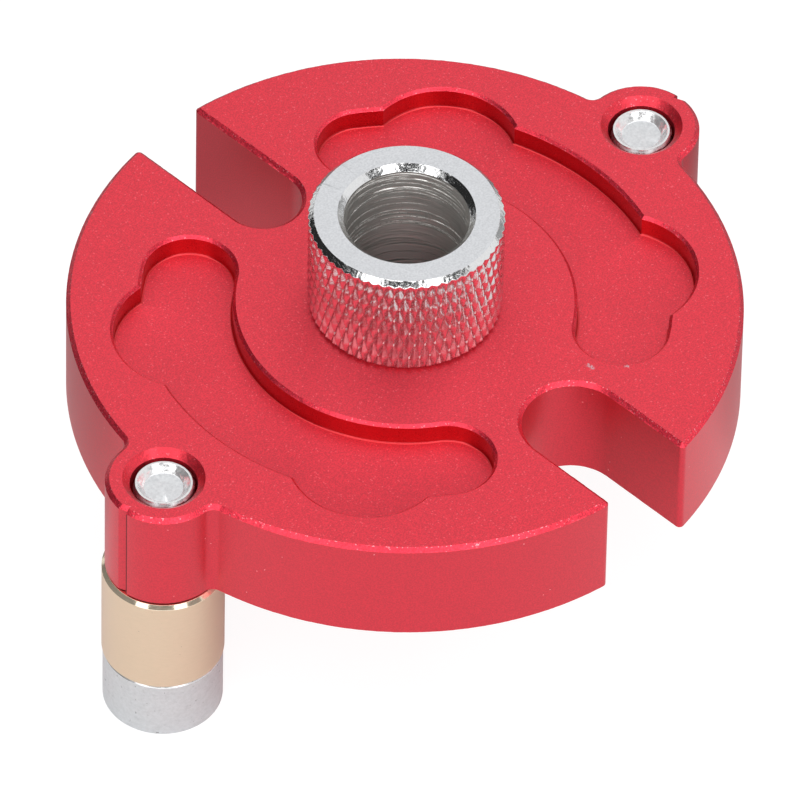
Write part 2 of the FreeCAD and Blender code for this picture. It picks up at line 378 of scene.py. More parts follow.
def pocket_outline(grow):
    """The outline of the pocket on the +X side, counterclockwise."""
    out_r = POCKET_OUT_R + grow
    in_r = HUB_R - grow
    end_r = POCKET_HALF + grow
    lobe_r = LOBE_R + grow
    off = meet(out_r, lobe_r)
    rest_off = meet(POCKET_OUT_R, LOBE_R)
    end_steps = steps(POCKET_HALF * math.pi)
    lobe_steps = steps(LOBE_R * 2.4)
    short_steps = steps(POCKET_OUT_R * (POCKET_END - LOBE_ANGLE) * 0.3)
    long_steps = steps(POCKET_OUT_R * 2 * (LOBE_ANGLE - rest_off))

    def about(angle):
        return np.array([POCKET_MID_R * math.cos(angle), POCKET_MID_R * math.sin(angle)])

    def lobe(turn):
        centre = about(turn)
        first, last = (math.atan2(out_r * math.sin(angle) - centre[1], out_r * math.cos(angle) - centre[0])
                       for angle in (turn + off, turn - off))
        return arc(centre, lobe_r, first, last, lobe_steps)

    return np.concatenate([
        arc((0, 0), in_r, -POCKET_END, POCKET_END, steps(HUB_R * 2 * POCKET_END)),
        arc(about(POCKET_END), end_r, POCKET_END + math.pi, POCKET_END, end_steps),
        arc((0, 0), out_r, POCKET_END, LOBE_ANGLE + off, short_steps),
        lobe(LOBE_ANGLE),
        arc((0, 0), out_r, LOBE_ANGLE - off, -LOBE_ANGLE + off, long_steps),
        lobe(-LOBE_ANGLE),
        arc((0, 0), out_r, -LOBE_ANGLE - off, -POCKET_END, short_steps),
        arc(about(-POCKET_END), end_r, -POCKET_END, -POCKET_END - math.pi, end_steps),
    ])[::-1]


def chamfer_rows(loop_at, low, high, count, roughness, ragged, seed):
    """Rows across a chamfer from (offset, z) low to high, dented inwards like a blasted cut edge.
    Its two border rows are ragged instead."""
    direction = np.array([high[0] - low[0], high[1] - low[1]])
    direction = direction / np.linalg.norm(direction)
    into = np.array([abs(direction[1]), -math.copysign(direction[0], direction[1])])
    rows = []
    for k in range(count + 1):
        share = k / count
        offset = low[0] + (high[0] - low[0]) * share
        z = low[1] + (high[1] - low[1]) * share
        loop = loop_at(offset)
        inward = (loop_at(offset + 0.01) - loop) / 0.01
        length = np.maximum(np.linalg.norm(inward, axis=1), 1e-6)
        inward = inward / np.maximum(length, 1.0)[:, None]
        spacing = np.linalg.norm(np.roll(loop, -1, axis=0) - np.roll(loop, 1, axis=0), axis=1) / 2
        inward = inward * np.clip(spacing / (0.7 * GRAIN_STEP), 0, 1)[:, None]
        at = level(loop, z)
        rough = 0.62 * grain(at, 0.26, seed) + 0.38 * grain(at, 0.13, seed + 7)
        if k in (0, count):
            shift = ragged * (0.6 * grain(at, 0.34, seed + 3) + 0.4 * grain(at, 0.15, seed + 5))
            if k == 0:
                at[:, 2] += shift * (1 if high[1] > low[1] else -1)
            else:
                at[:, :2] += inward * np.abs(shift)[:, None]
        else:
            dent = roughness * np.maximum(0.15 + rough, 0)
            at[:, :2] += inward * (dent * into[0])[:, None]
            at[:, 2] += dent * into[1]
        rows.append(at)
    return rows


# ---- material helpers ----------------------------------------------------------------------------

NOISE_RANGE = 0.3, 0.7         # most of a noise's values lie between these
MIX_FACTOR, MIX_A, MIX_B, MIX_RESULT = 0, 6, 7, 2      # which of a mix node's sockets mix colours


def blank_material(name):
    made = bpy.data.materials.new(name)
    made.use_nodes = True
    made.node_tree.nodes.clear()
    return made


def add_node(tree, kind, inputs, **settings):
    """Adds a node and returns its outputs. Each input is a socket to link or a plain value."""
    node = tree.nodes.new(kind)
    for name, value in settings.items():
        setattr(node, name, value)
    for name, source in inputs.items():
        if isinstance(source, bpy.types.NodeSocket):
            tree.links.new(source, node.inputs[name])
        else:
            node.inputs[name].default_value = source
    return node.outputs


def reckon(tree, operation, a, b):
    """The result of a math node."""
    return add_node(tree, "ShaderNodeMath", {0: a, 1: b}, operation=operation)[0]


class Nodes:
    """A new material, and short ways to add nodes to it."""

    def __init__(self, name):
        self.material = blank_material(name)
        self.tree = self.material.node_tree
        self.place = self.add("ShaderNodeTexCoord", {})["Object"]

    def add(self, kind, inputs, **settings):
        return add_node(self.tree, kind, inputs, **settings)

    def finish(self, inputs):
        """Ends the tree with a principled shader and returns the material."""
        shader = self.add("ShaderNodeBsdfPrincipled", inputs)
        self.add("ShaderNodeOutputMaterial", {"Surface": shader["BSDF"]})
        return self.material

    def scaled(self, scale):
        return self.add("ShaderNodeMapping", {"Vector": self.place, "Scale": scale})["Vector"]

    def noise(self, scale, detail=2.0, roughness=0.5, place=None):
        inputs = {"Vector": place or self.place, "Scale": scale, "Detail": detail, "Roughness": roughness}
        return self.add("ShaderNodeTexNoise", inputs)["Fac"]

    def cells(self, scale):
        """A random red, green and blue value for each cell."""
        colour = self.add("ShaderNodeTexVoronoi", {"Vector": self.place, "Scale": scale})["Color"]
        return self.add("ShaderNodeSeparateColor", {"Color": colour})

    def math(self, operation, a, b):
        return reckon(self.tree, operation, a, b)

    def vector(self, operation, a, b=(0, 0, 0)):
        return self.add("ShaderNodeVectorMath", {0: a, 1: b}, operation=operation)

    def remap(self, value, low, high, to_low=0.0, to_high=1.0):
        """The value moved smoothly from one range to another, and kept within it."""
        inputs = {"Value": value, "From Min": low, "From Max": high, "To Min": to_low, "To Max": to_high}
        return self.add("ShaderNodeMapRange", inputs, interpolation_type="SMOOTHSTEP")["Result"]

    def mix(self, factor, *colours):
        """A blend of two colours, each a socket or three numbers."""
        first, second = (c if isinstance(c, bpy.types.NodeSocket) else (*c, 1.0) for c in colours)
        inputs = {MIX_FACTOR: factor, MIX_A: first, MIX_B: second}
        return self.add("ShaderNodeMix", inputs, data_type="RGBA")[MIX_RESULT]

    def bump(self, height, distance, strength):
        inputs = {"Height": height, "Distance": distance, "Strength": strength}
        return self.add("ShaderNodeBump", inputs)["Normal"]

    def near(self, point, radius, stretch, ragged):
        """1 well within this radius of a point in millimetres, 0 outside it, with a ragged edge."""
        away = self.vector("SUBTRACT", self.place, [c * MM for c in point])[0]
        away = self.vector("MULTIPLY", away, stretch)[0]
        far = self.math("ADD", self.vector("LENGTH", away)["Value"], ragged)
        return self.remap(far, radius * MM, radius * MM * 0.55)


def shaded(colour, share):
    return tuple(share * c for c in colour)


def red_material(name, base, roughness, vary, bump, dust_and_glint_share, dust_and_glint, metal, coat, coat_roughness, nicks=()):
    """Anodised aluminium: a metal in clear red, blasted to a fine grain, with a share of points painted
    bright: painted glints on most faces, specks of dust on the walls.
    """
    n = Nodes(name)
    fine = n.noise(7500.0, 2.0, 0.65)
    coarse = n.noise(900.0)
    cell = n.cells(10000.0)
    colour = n.mix(n.remap(fine, *NOISE_RANGE), shaded(base, 1 - vary), shaded(base, 1 + vary))
    colour = n.mix(n.remap(coarse, 0.35, 0.75, 0.0, 0.10), colour, shaded(base, 0.8))
    # Painted highlight: a share of random cells takes a bright colour; on the walls these stand for dust
    # specks.
    colour = n.mix(n.math("GREATER_THAN", cell["Red"], 1.0 - dust_and_glint_share), colour, dust_and_glint)
    height = n.math("ADD", fine, n.math("MULTIPLY", cell["Green"], 0.25))
    if nicks:
        wobble = n.math("MULTIPLY", n.math("SUBTRACT", n.noise(7000.0), 0.5), 0.0006)
        bare, *others = [n.near(point, radius, stretch, wobble) for point, radius, stretch in nicks]
        for other in others:
            bare = n.math("MAXIMUM", bare, other)
        scuffed = n.math("MULTIPLY", bare, n.remap(n.noise(8200.0), 0.40, 0.62))
        colour = n.mix(scuffed, colour, BARE)
    return n.finish({
        "Base Color": colour,
        "Normal": n.bump(height, 0.00002, bump),
        "Roughness": n.remap(fine, *NOISE_RANGE, roughness - 0.03, roughness + 0.03),
        "Metallic": metal,
        "Coat Weight": coat,
        "Coat Roughness": coat_roughness,
        "Coat IOR": 1.5,
    })


def metal_material(name, base, tone, roughness, scale=(1, 1, 1), size=4000.0, bump=0.2, distance=0.00001,
                   pits=0.0, pit_size=2600.0, pit_shade=0.4, smudge=0.0, metal=1.0, deep=None):
    """Bare or plated metal with a fine texture, stretched by scale where it was turned. With deep as
    (high, low, share), the colour falls to this share of itself from one height down to the other: a painted
    shade."""
    n = Nodes(name)
    fine = n.noise(size, 3.0, 0.6, n.scaled(scale))
    colour = n.mix(n.remap(fine, *NOISE_RANGE), base, tone)
    height = fine
    if smudge:
        dirt = n.remap(n.noise(1500.0, 3.0, 0.7), 0.5, 0.8, 0.0, smudge)
        colour = n.mix(dirt, colour, shaded(base, 0.5))
    if pits:
        holes = n.remap(n.noise(pit_size), 0.70 - pits, 0.78 - pits)
        colour = n.mix(holes, colour, shaded(base, pit_shade))
        height = n.math("SUBTRACT", fine, holes)
    # Painted shade: the colour darkens from one height down to the other, as into a hollow.
    if deep:
        high, low, share = deep
        z = n.add("ShaderNodeSeparateXYZ", {0: n.place})["Z"]
        colour = n.mix(n.remap(z, high * MM, low * MM), colour, shaded(base, share))
    return n.finish({
        "Base Color": colour,
        "Normal": n.bump(height, distance, bump),
        "Roughness": n.remap(fine, *NOISE_RANGE, roughness - 0.05, roughness + 0.05),
        "Metallic": metal,
    })


# ---- materials -----------------------------------------------------------------------------------

RED = (0.665, 0.020, 0.043)
RED_DEEP = (0.54, 0.007, 0.015)
RED_WORN = (0.82, 0.034, 0.066)
RED_SUNK = (0.74, 0.026, 0.050)
RED_PAINTED_SHADE = (0.15, 0.004, 0.008)
BARE = (0.52, 0.38, 0.42)      # aluminium where the red is scuffed off

# Scuffed spots on the top face and its edge: place, radius and stretch
NICKS = [
    ((5.3, -15.75, 25.5), 0.34, (1.4, 0.75, 1.0)),
    ((7.4, -17.8, 25.5), 0.2, (1.0, 1.0, 1.0)),
]
CHIPS = [
    ((-15.0, -22.6, 25.35), 0.3, (1.0, 1.0, 1.0)),
    ((-11.05, 24.9, 25.4), 0.26, (1.0, 1.0, 1.0)),
]

# The bright points in these materials are painted glints, except on red_wall, where they are dust specks.
red_blasted = red_material(
    "red_blasted", RED, roughness=0.45, vary=0.18, bump=0.45, dust_and_glint_share=0.02, dust_and_glint=(0.8, 0.08, 0.11),
    metal=0.8, coat=0.6, coat_roughness=0.42, nicks=NICKS)
red_wall = red_material(
    "red_wall", RED, roughness=0.42, vary=0.12, bump=0.25, dust_and_glint_share=0.0003, dust_and_glint=(0.9, 0.3, 0.33),
    metal=0.85, coat=0.6, coat_roughness=0.42)
# Painted shade: a dark red for the line along each ear groove's steep side, where the groove is in shadow.
red_painted_groove_shade = red_material(
    "red_painted_groove_shade", RED_PAINTED_SHADE, roughness=0.5, vary=0.1, bump=0.3, dust_and_glint_share=0.0, dust_and_glint=RED,
    metal=0.6, coat=0.1, coat_roughness=0.5)
red_milled = red_material(
    "red_milled", RED_DEEP, roughness=0.30, vary=0.05, bump=0.06, dust_and_glint_share=0.0, dust_and_glint=RED,
    metal=0.9, coat=0.6, coat_roughness=0.15)
red_edge = red_material(
    "red_edge", RED_WORN, roughness=0.36, vary=0.25, bump=0.75, dust_and_glint_share=0.03, dust_and_glint=(0.9, 0.18, 0.22),
    metal=0.9, coat=0.4, coat_roughness=0.35, nicks=CHIPS)
# Painted highlight: many bright points along the chamfer's highest strip.
red_crest = red_material(
    "red_crest", RED_WORN, roughness=0.34, vary=0.35, bump=0.9, dust_and_glint_share=0.10, dust_and_glint=(0.92, 0.28, 0.33),
    metal=0.9, coat=0.4, coat_roughness=0.35)
red_sunk = red_material(
    "red_sunk", RED_SUNK, roughness=0.36, vary=0.18, bump=0.5, dust_and_glint_share=0.03, dust_and_glint=(0.88, 0.14, 0.18),
    metal=0.85, coat=0.5, coat_roughness=0.35)

steel_satin = metal_material(
    "steel_satin", (0.555, 0.565, 0.585), (0.665, 0.675, 0.695), 0.42,
    size=6000.0, bump=0.8, distance=0.00002)
steel_polished = metal_material(
    "steel_polished", (0.76, 0.765, 0.77), (0.82, 0.825, 0.83), 0.08,
    size=6500.0, bump=0.6, distance=0.00002)
steel_knurl = metal_material(
    "steel_knurl", (0.64, 0.65, 0.66), (0.76, 0.77, 0.78), 0.19,
    size=8000.0, bump=0.6, distance=0.00002)
# Painted shade: a darker steel for the bottoms of the knurl's grooves.
steel_painted_groove_shade = metal_material(
    "steel_painted_groove_shade", (0.52, 0.48, 0.48), (0.62, 0.58, 0.58), 0.25,
    size=8000.0, bump=0.5, distance=0.00002)
# Painted highlight: a bright, barely metallic steel for glints off the burrs where the knurl's grooves
# cross.
steel_painted_knurl_glint = metal_material("steel_painted_knurl_glint", (0.92, 0.91, 0.90), (0.96, 0.95, 0.94), 0.30, metal=0.3)
# Painted highlight: a bright, less metallic steel along the middle of each raised score in the bore.
steel_painted_score_glint = metal_material("steel_painted_score_glint", (0.76, 0.74, 0.71), (0.86, 0.84, 0.81), 0.30, metal=0.5)
# Painted shade: the bore's colour falls to half from 29.5 mm down to 25 mm.
steel_bore = metal_material(
    "steel_bore", (0.50, 0.49, 0.465), (0.62, 0.605, 0.58), 0.34, scale=(0.06, 0.06, 1.0),
    size=9000.0, bump=0.7, distance=0.00002, metal=0.7, deep=(29.5, 25.0, 0.5))
steel_thread = metal_material("steel_thread", (0.40, 0.40, 0.41), (0.48, 0.48, 0.49), 0.3, size=3000.0)

pin_turned = metal_material(
    "pin_turned", (0.63, 0.64, 0.655), (0.70, 0.71, 0.73), 0.40,
    size=3200.0, bump=0.3, pits=0.02, pit_size=2200.0, pit_shade=0.55, smudge=0.25)
pin_end = metal_material(
    "pin_end", (0.61, 0.62, 0.635), (0.71, 0.72, 0.735), 0.36,
    size=4000.0, bump=0.5, distance=0.00002)
pin_cone = metal_material(
    "pin_cone", (0.70, 0.705, 0.71), (0.82, 0.825, 0.83), 0.22,
    size=4500.0, bump=0.3, distance=0.00003, metal=0.7)

brass_satin = metal_material(
    "brass_satin", (0.745, 0.585, 0.43), (0.775, 0.61, 0.455), 0.36, scale=(0.25, 0.25, 1.0),
    size=6000.0, bump=0.1, pits=-0.04)
brass_polished = metal_material(
    "brass_polished", (0.84, 0.74, 0.56), (0.88, 0.78, 0.60), 0.08,
    size=2500.0, bump=0.1, metal=0.72)


# ---- the body ------------------------------------------------------------------------------------

BLASTED, MILLED, EDGE, WALL, CREST, SUNK, EAR_GROOVE_SHADE = range(7)
RED_BANDS = [red_blasted, red_milled, red_edge, red_wall, red_crest, red_sunk, red_painted_groove_shade]


def thread_profile(angle, z, pitch, depth):
    """Depth of a V thread below its crest."""
    phase = np.mod(z / pitch - angle / TAU, 1.0)
    return depth * np.clip(1.3 * (1 - np.abs(2 * phase - 1)) - 0.15, 0, 1)


def wall_bands(loop):
    """The wall's bands, with a painted shade line along the steep side of each ear's groove."""
    middle = (loop + np.roll(loop, -1, axis=0)) / 2
    side = np.sign(middle[:, 0])
    turn = np.arctan2(middle[:, 1], np.abs(middle[:, 0]) - LEG_X)
    across = side * EAR_R * turn / GROOVE_HALF
    return np.where((across > GROOVE_SHADE_FROM) & (across < GROOVE_SHADE_TO), EAR_GROOVE_SHADE, WALL)


def outer_wall(b):
    """The wall all round, with a rough chamfer at each end."""
    top_edge = chamfer_rows(outline, (0.0, TOP_Z - TOP_CHAMFER), (TOP_CHAMFER, TOP_Z), 6,
                            roughness=0.022, ragged=0.035, seed=1)
    low_edge = chamfer_rows(outline, (0.0, UNDERSIDE_Z + BOTTOM_CHAMFER), (BOTTOM_CHAMFER, UNDERSIDE_Z), 3,
                            roughness=0.02, ragged=0.02, seed=2)
    loop = outline(0.0)
    walls = [level(loop, z) for z in np.linspace(UNDERSIDE_Z + 0.7, TOP_Z - 0.7, 6)]
    bands = [EDGE] * 3 + [wall_bands(loop)] * 7 + [EDGE] * 5 + [CREST]
    return b.skin(low_edge[::-1] + walls + top_edge, bands)


def pocket(b, side):
    """One pocket with a rounded corner along its floor. Returns its highest row."""
    def pocket_at(offset):
        return pocket_outline(offset) * (side, side)

    floor_z = TOP_Z - POCKET_DEPTH
    rows = []
    for k in range(5):
        turn = math.pi / 2 * k / 4
        rows.append(level(pocket_at(-FLOOR_R * (1 - math.sin(turn))),
                          floor_z + FLOOR_R * (1 - math.cos(turn))))
    rows += [level(pocket_at(0.0), z) for z in (floor_z + 0.8, TOP_Z - 0.6)]
    rows += chamfer_rows(pocket_at, (0.0, TOP_Z - POCKET_CHAMFER), (POCKET_CHAMFER, TOP_Z), 5,
                         roughness=0.02, ragged=0.03, seed=11 + side)
    low, high = b.skin(rows, [MILLED] * 7 + [EDGE] * 5, turned_out=False)
    b.fill([low], BLASTED, True)
    return high


def bush_hole(b):
    """The threaded hole through the middle. Returns its lowest and highest rows."""
    count = 240
    wall_r = BUSH_THREAD_R + THREAD_GAP
    first_z, last_z = UNDERSIDE_Z + HOLE_CHAMFER, TOP_Z - HOLE_CHAMFER
    rows = [ring(wall_r + HOLE_CHAMFER, UNDERSIDE_Z, count)]
    for z in np.arange(first_z, last_z + 0.01, 0.12):
        fade = smoothstep(0, 0.8, z - UNDERSIDE_Z - HOLE_CHAMFER) * smoothstep(0, 0.8, last_z - z)
        groove = thread_profile(turns(count), z, BUSH_PITCH, BUSH_THREAD_DEPTH)
        rows.append(ring(wall_r + fade * groove, z, count))
    rows.append(ring(wall_r + HOLE_CHAMFER, TOP_Z, count))
    return b.skin(rows, [EDGE] + [MILLED] * (len(rows) - 3) + [EDGE], turned_out=False)


def ear_hole(b, side):
    """The threaded hole in an ear, with a relief and a rough countersink above its thread.
    Returns its lowest and highest rows."""
    count = 160
    x = side * LEG_X
    wall_r = PIN_R + THREAD_GAP
    relief_z = TOP_Z - EAR_RELIEF_DEPTH
    rows = [ring(wall_r + HOLE_CHAMFER, UNDERSIDE_Z, count, x)]
    for z in np.arange(UNDERSIDE_Z + HOLE_CHAMFER, relief_z - 0.2, 0.1):
        fade = smoothstep(0, 0.6, z - UNDERSIDE_Z - HOLE_CHAMFER)
        groove = thread_profile(turns(count), z, PIN_PITCH, EAR_THREAD_DEPTH)
        rows.append(ring(wall_r + fade * groove, z, count, x))
    rows.append(ring(wall_r, relief_z - 0.2, count, x))
    rows.append(ring(EAR_RELIEF_R, relief_z, count, x))
    plain = len(rows)

    def sink_at(offset):
        return arc((x, 0.0), EAR_RELIEF_R + offset, 0, TAU, count)

    rows += chamfer_rows(sink_at, (0.0, TOP_Z - EAR_SINK), (EAR_SINK, TOP_Z), 8,
                         roughness=0.025, ragged=0.03, seed=23 + side)
    return b.skin(rows, [MILLED] * (plain - 1) + [SUNK] * 9, turned_out=False)


def make_body():
    b = Builder()
    low, high = outer_wall(b)
    low_loops, top_loops = [low], [high]
    top_loops += [pocket(b, side) for side in (1, -1)]
    for low, high in (bush_hole(b), ear_hole(b, 1), ear_hole(b, -1)):
        low_loops.append(low)
        top_loops.append(high)
    b.fill(top_loops, BLASTED, True)
    b.fill(low_loops, BLASTED, False)
    return b.piece("body", RED_BANDS, 32.0)


# ---- profiles of turned pieces -------------------------------------------------------------------

def rounded(points, radius, count=3):
    """A profile of (r, z) points with its inner corners rounded by this radius."""
    pts = [np.array(p, float) for p in points]
    made = [pts[0]]
    for before, here, after in zip(pts, pts[1:], pts[2:]):
        one, two = before - here, after - here
        reach = min(radius, 0.4 * np.linalg.norm(one), 0.4 * np.linalg.norm(two))
        start = here + one / np.linalg.norm(one) * reach
        end = here + two / np.linalg.norm(two) * reach
        for k in range(count + 1):
            t = k / count
            made.append((1 - t) ** 2 * start + 2 * t * (1 - t) * here + t ** 2 * end)
    made.append(pts[-1])
    return made


def held(profile):
    """The profile with a point close to each end of every straight stretch, so that it stays flat."""
    gap = 0.015
    made = [profile[0]]
    for before, here in zip(profile, profile[1:]):
        length = np.linalg.norm(here - before)
        if length > 4 * gap:
            made.append(before + (here - before) * gap / length)
            made.append(here - (here - before) * gap / length)
        made.append(here)
    return made


# ---- the guide bush ------------------------------------------------------------------------------

SATIN, POLISHED, KNURLED, BORE, BUSH_THREAD, KNURL_GROOVE_SHADE, KNURL_GLINT, SCORE_GLINT = range(8)
BUSH_BANDS = [steel_satin, steel_polished, steel_knurl, steel_bore, steel_thread, steel_painted_groove_shade,
              steel_painted_knurl_glint, steel_painted_score_glint]


def knurl_depth(angle, z):
    """Depth below the crests of a diamond knurl: two sets of V grooves with rounded crests between.
    Also says where the two sets cross."""
    across = angle * KNURL_COUNT / TAU
    up = (z - TOP_Z) / KNURL_RISE
    first = np.mod(across + up - KNURL_STARTS[0], 1.0)
    second = np.mod(across - up - KNURL_STARTS[1], 1.0)
    first = np.sqrt(np.minimum(first, 1 - first) ** 2 + KNURL_ROUND)
    second = np.sqrt(np.minimum(second, 1 - second) ** 2 + KNURL_ROUND)
    near = -KNURL_BLEND * np.log(np.exp(-first / KNURL_BLEND) + np.exp(-second / KNURL_BLEND))
    spots = ring(HEAD_R, z, len(angle))
    worn = 0.020 * grain(spots, 0.7, 61) + 0.014 * grain(spots, 0.22, 62) + 0.01
    fade = 1 - 0.62 * smoothstep(BUSH_TOP_Z - 1.1, BUSH_TOP_Z - 0.4, z)     # shallower near the top
    # Where the two sets cross, bush_outside gives a painted highlight.
    crossed = (first < 0.09) & (second < 0.09) & (grain(spots, 0.5, 63) > -0.1)
    return KNURL_DEPTH * fade * np.clip(1 - near / 0.5, 0, 1) ** 1.5 + np.maximum(worn, 0), crossed


def bush_outside(b):
    """Thread, relief, underside of the head, knurl and top chamfer, from the lower end up."""
    count = KNURL_COUNT * 16
    angle = turns(count)
    made = Rows()
    end_r = BUSH_THREAD_R - BUSH_END_CHAMFER
    relief_r, relief_z = BUSH_THREAD_R - BUSH_RELIEF_DEPTH, TOP_Z - BUSH_RELIEF_WIDTH
    made.add(ring(end_r, BUSH_END_Z, count), SATIN)
    for z in np.arange(BUSH_END_Z + 0.06, relief_z - 0.6, 0.12):
        r = BUSH_THREAD_R - thread_profile(angle, z, BUSH_PITCH, BUSH_THREAD_DEPTH)
        made.add(ring(np.minimum(r, end_r + (z - BUSH_END_Z)), z, count), BUSH_THREAD)
    made.add(ring(relief_r, relief_z - 0.05, count), BUSH_THREAD)
    made.add(ring(relief_r, TOP_Z, count), BUSH_THREAD)
    made.add(ring(HEAD_R - HEAD_LOW_CHAMFER, TOP_Z, count), SATIN)

    knurl_end = BUSH_TOP_Z - HEAD_TOP_CHAMFER - 0.04
    rise = KNURL_RISE / 24
    for z in np.arange(TOP_Z + rise / 2, knurl_end - rise / 2, rise):
        depth, crossed = knurl_depth(angle, z)
        cone = HEAD_R - HEAD_LOW_CHAMFER + (z - TOP_Z)
        # Painted shade along the grooves' bottoms, and a painted highlight at the crossings.
        band = np.where(crossed, KNURL_GLINT, np.where(depth > 0.8 * KNURL_DEPTH, KNURL_GROOVE_SHADE, KNURLED))
        made.add(ring(np.minimum(HEAD_R - depth, cone), z, count), band)
    for z in np.linspace(knurl_end, BUSH_TOP_Z - 0.012, 12):
        here = ring(HEAD_R, z, count)
        r = HEAD_R - knurl_depth(angle, z)[0]
        cone = HEAD_R - HEAD_TOP_CHAMFER + (BUSH_TOP_Z - z)
        cut = cone - 0.016 + 0.012 * grain(here, 0.5, 5) + 0.012 * grain(here, 0.2, 6)
        made.add(ring(np.minimum(r, cut), z, count), np.where(cut < r + 0.01, POLISHED, KNURLED))
    made.add(ring(HEAD_R - HEAD_TOP_CHAMFER - 0.012, BUSH_TOP_Z, count), SATIN)
    return made.skin(b)


def bore_marks(low_z, high_z):
    """Wavy tool marks all along the bore, and raised scores in its upper part, which get a painted
    highlight.
    """
    rng = np.random.default_rng(7)
    marks = [(rng.uniform(low_z, high_z), rng.uniform(0.05, 0.08), rng.uniform(-0.03, 0.04),
              rng.uniform(0, TAU), rng.uniform(0.05, 0.45), rng.uniform(-0.7, 0.6))
             for _ in range(MARK_COUNT)]
    scores = [(high_z - 0.3 - 6.5 * rng.uniform() ** 1.7, rng.uniform(-0.45, 0.45), rng.uniform(0, TAU),
               rng.uniform(-0.1, 2.3), rng.uniform(0.2, 0.9)) for _ in range(SCORE_COUNT)]
    return marks, scores


def bush_bore(b):
    """Upper chamfer, bore with its tool marks, and lower chamfer, from the top down."""
    count = 400
    angle = turns(count)
    made = Rows()
    made.add(ring(BORE_R + BORE_CHAMFER, BUSH_TOP_Z, count), POLISHED)
    for k in range(1, 9):
        share = k / 9
        z = BUSH_TOP_Z - BORE_CHAMFER * share
        here = ring(BORE_R, z, count)
        wave = 0.010 * grain(here, 0.55, 9) + 0.016 * grain(here, 0.18, 10)
        made.add(ring(BORE_R + BORE_CHAMFER * (1 - share) + wave, z, count), POLISHED)

    low_wall, high_wall = BUSH_END_Z + BORE_CHAMFER, BUSH_TOP_Z - BORE_CHAMFER
    marks, scores = bore_marks(low_wall, high_wall)
    deep = high_wall - 11          # below this the rows lie further apart
    for z in np.concatenate([np.arange(high_wall, deep, -0.045), np.arange(deep, low_wall, -0.15)]):
        here = ring(BORE_R, z, count)
        r = np.full(count, BORE_R)
        for mark_z, width, depth, turn, slope, reach in marks:
            centre = mark_z + slope * np.sin(angle + turn)
            along = smoothstep(reach, reach + 0.35, np.cos(angle - 3 * turn))
            r = r + depth * along * np.exp(-((z - centre) / width) ** 2)
        band = np.full(count, BORE)
        for mark_z, slope, turn, middle, reach in scores:
            off = z - mark_z - slope * np.sin(angle + turn)
            along = smoothstep(reach, reach + 0.3, np.cos(angle - middle))
            r = r + SCORE_DEPTH * along * np.exp(-(off / SCORE_WIDTH) ** 2)
            # Painted highlight along the middle of each score.
            band = np.where((along > 0.5) & (off <= SCORE_WIDTH / 2) & (off > -SCORE_WIDTH / 2), SCORE_GLINT, band)
        r = r + 0.006 * grain(here * (0.12, 0.12, 1.0), 0.16, 31)
        made.add(ring(np.maximum(r, BORE_R - 0.03), z, count), band)
    made.add(ring(BORE_R + BORE_CHAMFER, BUSH_END_Z, count), POLISHED)
    return made.skin(b)


def make_bush():
    b = Builder()
    low_out, top_out = bush_outside(b)
    top_in, low_in = bush_bore(b)
    b.fill([top_out, top_in], SATIN, True)
    b.fill([low_out, low_in], SATIN, False)
    return b.piece("guide_bush_turned", BUSH_BANDS)


# ---- the leg pins --------------------------------------------------------------------------------

TURNED, CUP, PIN_THREAD, CUP_FLOOR = range(4)
PIN_COUNT = 144
SOCKET_CORNER = SOCKET_HALF_FLATS / math.cos(math.pi / 6)


def foot_and_shoulder():
    """The pin's profile from the rim of its socket up to its thread, with the band of each stretch."""
    profile = held(rounded([
        (SOCKET_CORNER + SOCKET_CHAMFER, 0.0), (FOOT_R - FOOT_LOW_CHAMFER, 0.0), (FOOT_R, FOOT_LOW_CHAMFER),
        (FOOT_R, FOOT_TOP_Z - FOOT_TOP_CHAMFER), (FOOT_R - FOOT_TOP_CHAMFER, FOOT_TOP_Z),
        (SHOULDER_R, FOOT_TOP_Z), (SHOULDER_R, UNDERSIDE_Z), (PIN_R - PIN_RELIEF_DEPTH, UNDERSIDE_Z),
        (PIN_R - PIN_RELIEF_DEPTH, UNDERSIDE_Z + PIN_RELIEF_WIDTH),
    ], 0.04))
    for (r, z), (next_r, next_z) in zip(profile[1:], profile[2:] + [profile[-1]]):
        outer = min(r, next_r) > FOOT_R - FOOT_TOP_CHAMFER - 0.01
        slanted = abs(next_r - r) > 0.01 and abs(next_z - z) > 0.01
        yield r, z, CUP if outer and slanted and z > 1.0 else TURNED


def pin_cup(side):
    """The rim and the cup in the pin's threaded end, with the band of each stretch."""
    rim_out = PIN_R - PIN_END_CHAMFER
    rim_in = rim_out - CUP_RIM
    slope = [(rim_in - (rim_in - CUP_FLOOR_R) * k / 6, PIN_END_Z - CUP_DEPTH * k / 6) for k in range(7)]
    profile = rounded(slope + [(0.2, PIN_END_Z - CUP_DEPTH)], 0.10, 4)
    for r, z in [(rim_out, PIN_END_Z)] + profile:
        here = ring(r, z, PIN_COUNT, side * LEG_X)
        wave = 0.035 * grain(here, 0.55, 40 + side) + 0.02 * grain(here, 0.24, 43 + side)
        on_cone = 1.0 if CUP_FLOOR_R - 0.05 < r < rim_out - 0.2 else 0.25
        yield r + on_cone * wave, z - 0.3 * on_cone * np.abs(wave), CUP if r > CUP_FLOOR_R else CUP_FLOOR


